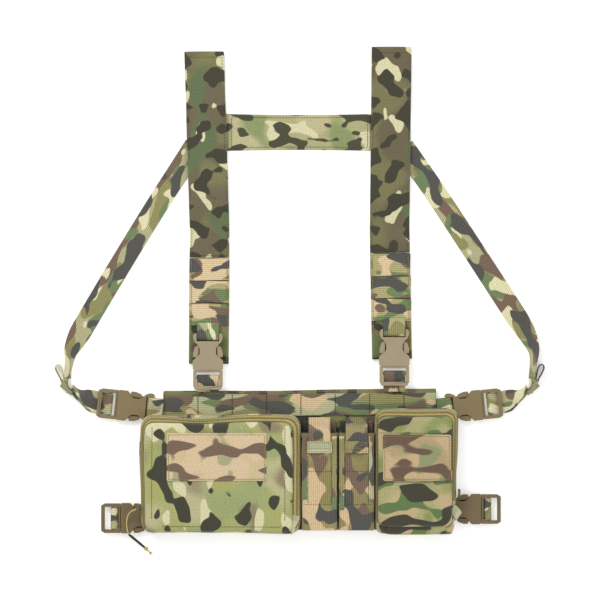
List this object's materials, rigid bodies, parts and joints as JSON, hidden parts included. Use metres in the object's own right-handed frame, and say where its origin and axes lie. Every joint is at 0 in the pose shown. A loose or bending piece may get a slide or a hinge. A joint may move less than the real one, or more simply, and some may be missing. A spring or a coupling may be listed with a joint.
{
  "type": "chest rig with shoulder harness",
  "caption": "Load-bearing chest rig: webbing panel with zipped pouches and magazine pouches, H-shaped shoulder harness and side straps on side-release buckles, laid flat.",
  "frame": {"origin": "centre of the flat-laid rig's outline, on the surface it lies on, without the pull cord", "axes": "+Z out of the front of the rig, away from the wearer; +Y up towards the shoulders; +X to the right as seen from the front"},
  "size_m": [0.5666, 0.5852, 0.0423],
  "materials": {
    "camo_fabric": "woven nylon with a printed disruptive pattern",
    "camo_webbing": "ribbed woven webbing with a printed pattern",
    "mesh_lining": "knitted spacer mesh",
    "elastic": "woven elastic",
    "shoulder_buckle_nylon": "moulded acetal, fine satin texture",
    "upper_buckle_nylon": "moulded acetal, fine satin texture",
    "lower_buckle_nylon": "moulded acetal, fine satin texture",
    "zipper_tape": "woven zipper tape with nylon coil",
    "loop_fabric": "brushed loop pile",
    "coated_zinc": "dark lacquered",
    "cord_braid": "fine braided cord",
    "shrink_tube": "satin heat-shrink sleeve"
  },
  "bodies": {
    "root": {"front_panel": "camo_fabric", "molle_row_upper": "camo_webbing", "molle_row_lower": "camo_webbing", "back_padding": "mesh_lining", "cross_strap": "camo_fabric", "waist_strap": "camo_webbing", "left_shoulder_sleeve": "camo_fabric", "left_strap_tail": "camo_webbing", "left_side_strap_upper": "camo_webbing", "left_upper_stub": "camo_webbing", "left_lower_stub": "camo_webbing", "left_shoulder_female": "shoulder_buckle_nylon", "left_upper_female": "upper_buckle_nylon", "left_lower_female": "lower_buckle_nylon", "left_pouch_back": "camo_fabric", "left_pouch_zipper": "zipper_tape", "left_mag_pouch": "camo_fabric", "right_shoulder_sleeve": "camo_fabric", "right_strap_tail": "camo_webbing", "right_side_strap_upper": "camo_webbing", "right_upper_stub": "camo_webbing", "right_lower_stub": "camo_webbing", "right_shoulder_female": "shoulder_buckle_nylon", "right_upper_female": "upper_buckle_nylon", "right_lower_female": "lower_buckle_nylon", "right_pouch_back": "camo_fabric", "right_pouch_zipper": "zipper_tape", "right_mag_pouch": "camo_fabric"},
    "left_shoulder_clip": {"left_shoulder_male": "shoulder_buckle_nylon", "left_shoulder_prongs": "shoulder_buckle_nylon", "left_shoulder_tab_loop": "camo_webbing"},
    "left_upper_clip": {"left_upper_male": "upper_buckle_nylon", "left_upper_prongs": "upper_buckle_nylon", "left_adjuster_webbing": "camo_webbing", "left_slack_keeper": "elastic", "left_side_strap_lower": "camo_webbing"},
    "left_lower_clip": {"left_lower_male": "lower_buckle_nylon", "left_lower_prongs": "lower_buckle_nylon", "left_waist_loop": "camo_webbing"},
    "left_pouch_lid": {"left_pouch_cover": "camo_fabric", "left_pouch_loop_patch": "loop_fabric"},
    "left_flap": {"left_mag_flap": "camo_webbing"},
    "left_zip_pull": {"left_zip_slider": "coated_zinc", "pull_cord": "cord_braid", "cord_end": "shrink_tube"},
    "right_shoulder_clip": {"right_shoulder_male": "shoulder_buckle_nylon", "right_shoulder_prongs": "shoulder_buckle_nylon", "right_shoulder_tab_loop": "camo_webbing"},
    "right_upper_clip": {"right_upper_male": "upper_buckle_nylon", "right_upper_prongs": "upper_buckle_nylon", "right_adjuster_webbing": "camo_webbing", "right_slack_keeper": "elastic", "right_side_strap_lower": "camo_webbing"},
    "right_lower_clip": {"right_lower_male": "lower_buckle_nylon", "right_lower_prongs": "lower_buckle_nylon", "right_waist_loop": "camo_webbing"},
    "right_pouch_lid": {"right_pouch_cover": "camo_fabric", "right_pouch_loop_patch": "loop_fabric"},
    "right_flap": {"right_mag_flap": "camo_webbing"},
    "right_zip_pull": {"right_zip_slider": "coated_zinc"}
  },
  "joints": [
    {"name": "left_shoulder_release", "type": "slide", "parent": "root", "child": "left_shoulder_clip", "axis": [0, -1, 0], "range_m": [0, 0.024], "deforming": ["left_shoulder_prongs"]},
    {"name": "left_upper_release", "type": "slide", "parent": "root", "child": "left_upper_clip", "axis": [-0.9945, 0.1045, 0], "range_m": [0, 0.024], "deforming": ["left_upper_prongs"]},
    {"name": "left_lower_release", "type": "slide", "parent": "root", "child": "left_lower_clip", "axis": [-1, 0, 0], "range_m": [0, 0.024], "deforming": ["left_lower_prongs"]},
    {"name": "left_lid_hinge", "type": "hinge", "parent": "root", "child": "left_pouch_lid", "pos_m": [-0.091, -0.278, 0.03285], "axis": [1, 0, 0], "range_deg": [0, 110]},
    {"name": "left_flap_hinge", "type": "hinge", "parent": "root", "child": "left_flap", "pos_m": [0.02275, -0.1475, 0.0098], "axis": [-1, 0, 0], "range_deg": [0, 110]},
    {"name": "left_zip_slide", "type": "slide", "parent": "root", "child": "left_zip_pull", "axis": [0, 1, 0], "range_m": [0, 0.08], "deforming": ["pull_cord", "cord_end"]},
    {"name": "right_shoulder_release", "type": "slide", "parent": "root", "child": "right_shoulder_clip", "axis": [0, -1, 0], "range_m": [0, 0.019], "deforming": ["right_shoulder_prongs"]},
    {"name": "right_upper_release", "type": "slide", "parent": "root", "child": "right_upper_clip", "axis": [0.9945, 0.1045, 0], "range_m": [0, 0.024], "deforming": ["right_upper_prongs"]},
    {"name": "right_lower_release", "type": "slide", "parent": "root", "child": "right_lower_clip", "axis": [1, 0, 0], "range_m": [0, 0.024], "deforming": ["right_lower_prongs"]},
    {"name": "right_lid_hinge", "type": "hinge", "parent": "root", "child": "right_pouch_lid", "pos_m": [0.134, -0.2803, 0.03285], "axis": [1, 0, 0], "range_deg": [0, 110]},
    {"name": "right_flap_hinge", "type": "hinge", "parent": "root", "child": "right_flap", "pos_m": [0.06525, -0.1475, 0.0098], "axis": [-1, 0, 0], "range_deg": [0, 110]},
    {"name": "right_zip_slide", "type": "slide", "parent": "root", "child": "right_zip_pull", "axis": [0, 1, 0], "range_m": [0, 0.075]}
  ]
}
